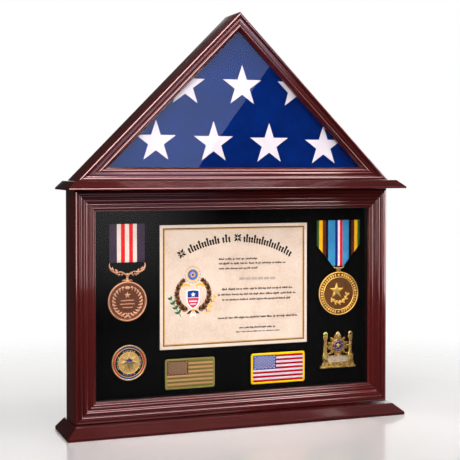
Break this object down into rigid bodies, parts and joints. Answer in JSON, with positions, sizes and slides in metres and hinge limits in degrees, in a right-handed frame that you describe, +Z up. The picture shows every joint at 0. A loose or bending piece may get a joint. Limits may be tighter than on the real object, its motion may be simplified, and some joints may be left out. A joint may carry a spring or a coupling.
{
  "type": "folded flag display case",
  "caption": "Wooden display case: a glazed triangular compartment for a folded flag stands on a moulded ledge over a glazed shadow box for awards, on a bevelled base.",
  "frame": {"origin": "centre of the footprint, on the surface the base stands on", "axes": "+Z up, +Y towards the back, +X to the right seen from the front"},
  "size_m": [0.7094, 0.1306, 0.8239],
  "materials": {
    "mahogany_lacquer": "cherry mahogany stain under satin lacquer",
    "dark_panel_board": "dark stained hardboard",
    "clear_glass": "clear float glass",
    "black_felt": "short black felt",
    "beech_wood": "plain sanded beech",
    "flag_cotton": "deep blue cotton with white stars",
    "zinc_steel": "zinc plated",
    "brass_plate": "brass plated steel, satin",
    "parchment_paper": "cream parchment card with a gold border",
    "antique_bronze": "antique bronze, worn bright on the high points",
    "gilt_metal": "gilt, worn bright on the high points",
    "enamelled_coin": "brass with blue, black and red enamel",
    "pin_gilt": "polished gilt with coloured enamel",
    "left_ribbon_silk": "ribbed silk ribbon in stripes",
    "right_ribbon_silk": "ribbed silk ribbon in stripes",
    "olive_patch_twill": "embroidered twill in olive and tan",
    "colour_patch_twill": "embroidered twill in red, white and blue"
  },
  "bodies": {
    "case_frame": {"base_board": "mahogany_lacquer", "base_screw_1": "zinc_steel", "base_screw_2": "zinc_steel", "base_screw_3": "zinc_steel", "base_screw_4": "zinc_steel", "ledge_board": "mahogany_lacquer", "ledge_dowel_left": "beech_wood", "ledge_dowel_right": "beech_wood", "lower_top_rail": "mahogany_lacquer", "lower_bottom_rail": "mahogany_lacquer", "lower_left_stile": "mahogany_lacquer", "lower_right_stile": "mahogany_lacquer", "lower_glass": "clear_glass", "spacer_top": "black_felt", "spacer_bottom": "black_felt", "spacer_left": "black_felt", "spacer_right": "black_felt", "upper_left_rafter": "mahogany_lacquer", "upper_right_rafter": "mahogany_lacquer", "upper_bottom_rail": "mahogany_lacquer", "upper_glass": "clear_glass", "upper_turn_screw_left": "zinc_steel", "upper_turn_screw_right": "zinc_steel", "upper_turn_screw_bottom": "zinc_steel", "lower_turn_screw_left_top": "zinc_steel", "lower_turn_screw_left_bottom": "zinc_steel", "lower_turn_screw_right_top": "zinc_steel", "lower_turn_screw_right_bottom": "zinc_steel", "lower_turn_screw_top": "zinc_steel", "lower_turn_screw_bottom": "zinc_steel"},
    "flag": {"folded_flag": "flag_cotton"},
    "flag_case_back": {"upper_back_panel": "dark_panel_board"},
    "shadow_box_back": {"lower_back_panel": "dark_panel_board", "board_batten_left": "beech_wood", "board_batten_right": "beech_wood", "display_board": "black_felt", "certificate": "parchment_paper", "left_medal_disc": "antique_bronze", "left_medal_bar": "antique_bronze", "left_medal_ribbon": "left_ribbon_silk", "right_medal_disc": "gilt_metal", "right_medal_hanger": "gilt_metal", "right_medal_ribbon": "right_ribbon_silk", "challenge_coin": "enamelled_coin", "patch_left": "olive_patch_twill", "patch_right": "colour_patch_twill", "lapel_pin": "pin_gilt"},
    "upper_button_left": {"upper_turn_button_left": "brass_plate"},
    "upper_button_right": {"upper_turn_button_right": "brass_plate"},
    "upper_button_bottom": {"upper_turn_button_bottom": "brass_plate"},
    "lower_button_left_top": {"lower_turn_button_left_top": "brass_plate"},
    "lower_button_left_bottom": {"lower_turn_button_left_bottom": "brass_plate"},
    "lower_button_right_top": {"lower_turn_button_right_top": "brass_plate"},
    "lower_button_right_bottom": {"lower_turn_button_right_bottom": "brass_plate"},
    "lower_button_top": {"lower_turn_button_top": "brass_plate"},
    "lower_button_bottom": {"lower_turn_button_bottom": "brass_plate"}
  },
  "joints": [
    {"name": "flag_slide", "type": "slide", "parent": "case_frame", "child": "flag", "axis": [0, 1, 0], "range_m": [0, 0.15]},
    {"name": "flag_case_back_slide", "type": "slide", "parent": "case_frame", "child": "flag_case_back", "axis": [0, 1, 0], "range_m": [0, 0.3]},
    {"name": "shadow_box_back_slide", "type": "slide", "parent": "case_frame", "child": "shadow_box_back", "axis": [0, 1, 0], "range_m": [0, 0.3]},
    {"name": "upper_button_left_turn", "type": "hinge", "parent": "case_frame", "child": "upper_button_left", "pos_m": [-0.15266, 0.0609, 0.66214], "axis": [0, -1, 0], "range_deg": [0, 90]},
    {"name": "upper_button_right_turn", "type": "hinge", "parent": "case_frame", "child": "upper_button_right", "pos_m": [0.15266, 0.0609, 0.66214], "axis": [0, 1, 0], "range_deg": [0, 90]},
    {"name": "upper_button_bottom_turn", "type": "hinge", "parent": "case_frame", "child": "upper_button_bottom", "pos_m": [0.015, 0.0609, 0.4944], "axis": [0, 1, 0], "range_deg": [0, 90]},
    {"name": "lower_button_left_top_turn", "type": "hinge", "parent": "case_frame", "child": "lower_button_left_top", "pos_m": [-0.328, 0.0624, 0.372], "axis": [0, -1, 0], "range_deg": [0, 90]},
    {"name": "lower_button_left_bottom_turn", "type": "hinge", "parent": "case_frame", "child": "lower_button_left_bottom", "pos_m": [-0.328, 0.0624, 0.152], "axis": [0, -1, 0], "range_deg": [0, 90]},
    {"name": "lower_button_right_top_turn", "type": "hinge", "parent": "case_frame", "child": "lower_button_right_top", "pos_m": [0.328, 0.0624, 0.372], "axis": [0, 1, 0], "range_deg": [0, 90]},
    {"name": "lower_button_right_bottom_turn", "type": "hinge", "parent": "case_frame", "child": "lower_button_right_bottom", "pos_m": [0.328, 0.0624, 0.152], "axis": [0, 1, 0], "range_deg": [0, 90]},
    {"name": "lower_button_top_turn", "type": "hinge", "parent": "case_frame", "child": "lower_button_top", "pos_m": [0.015, 0.0624, 0.4669], "axis": [0, -1, 0], "range_deg": [0, 90]},
    {"name": "lower_button_bottom_turn", "type": "hinge", "parent": "case_frame", "child": "lower_button_bottom", "pos_m": [0.015, 0.0624, 0.0271], "axis": [0, 1, 0], "range_deg": [0, 90]}
  ],
  "couplings": [
    {"joint": "flag_case_back_slide", "follows": "flag_slide", "ratio": 2}
  ]
}
